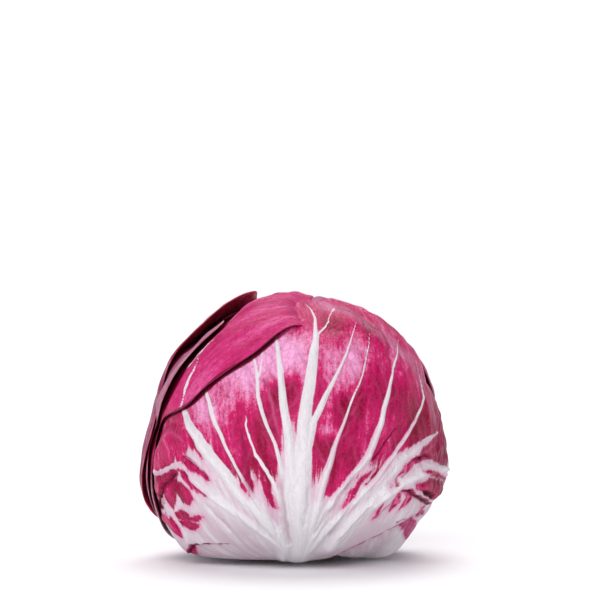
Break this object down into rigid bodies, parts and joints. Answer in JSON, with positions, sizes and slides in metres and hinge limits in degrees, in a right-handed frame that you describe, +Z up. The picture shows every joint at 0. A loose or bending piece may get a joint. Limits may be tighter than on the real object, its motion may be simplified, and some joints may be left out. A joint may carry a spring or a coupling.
{
  "type": "chioggia radicchio",
  "caption": "Round head of red chicory: magenta leaves with white ribs fanning from the base, folded in layers round a tight heart on a short cut stem.",
  "frame": {"origin": "centre of the stem's cut face, which the head stands on", "axes": "+Z up through the crown, -Y out through the midrib of the front leaf, +X to the right as the picture shows the head"},
  "size_m": [0.1195, 0.1181, 0.1042],
  "materials": {
    "front_leaf": "satin leaf, magenta blade between white ribs",
    "left_leaf_a": "satin leaf, magenta blade between white ribs",
    "left_leaf_b": "satin leaf, greyed purple blade",
    "outer_left_leaf": "satin leaf, wine red blade",
    "right_leaf": "satin leaf, magenta blade between white ribs",
    "inner_left_leaf": "satin leaf, white base",
    "inner_right_leaf": "satin leaf, white base",
    "inner_back_leaf": "satin leaf, magenta blade between white ribs",
    "heart": "satin packed inner leaves, pink to white",
    "stem_butt": "matt cut stem flesh, ivory with a browned rim"
  },
  "bodies": {
    "root": {"front_leaf": "front_leaf", "left_leaf_a": "left_leaf_a", "left_leaf_b": "left_leaf_b", "outer_left_leaf": "outer_left_leaf", "right_leaf": "right_leaf", "inner_left_leaf": "inner_left_leaf", "inner_right_leaf": "inner_right_leaf", "inner_back_leaf": "inner_back_leaf", "heart": "heart", "stem_butt": "stem_butt"}
  },
  "joints": []
}
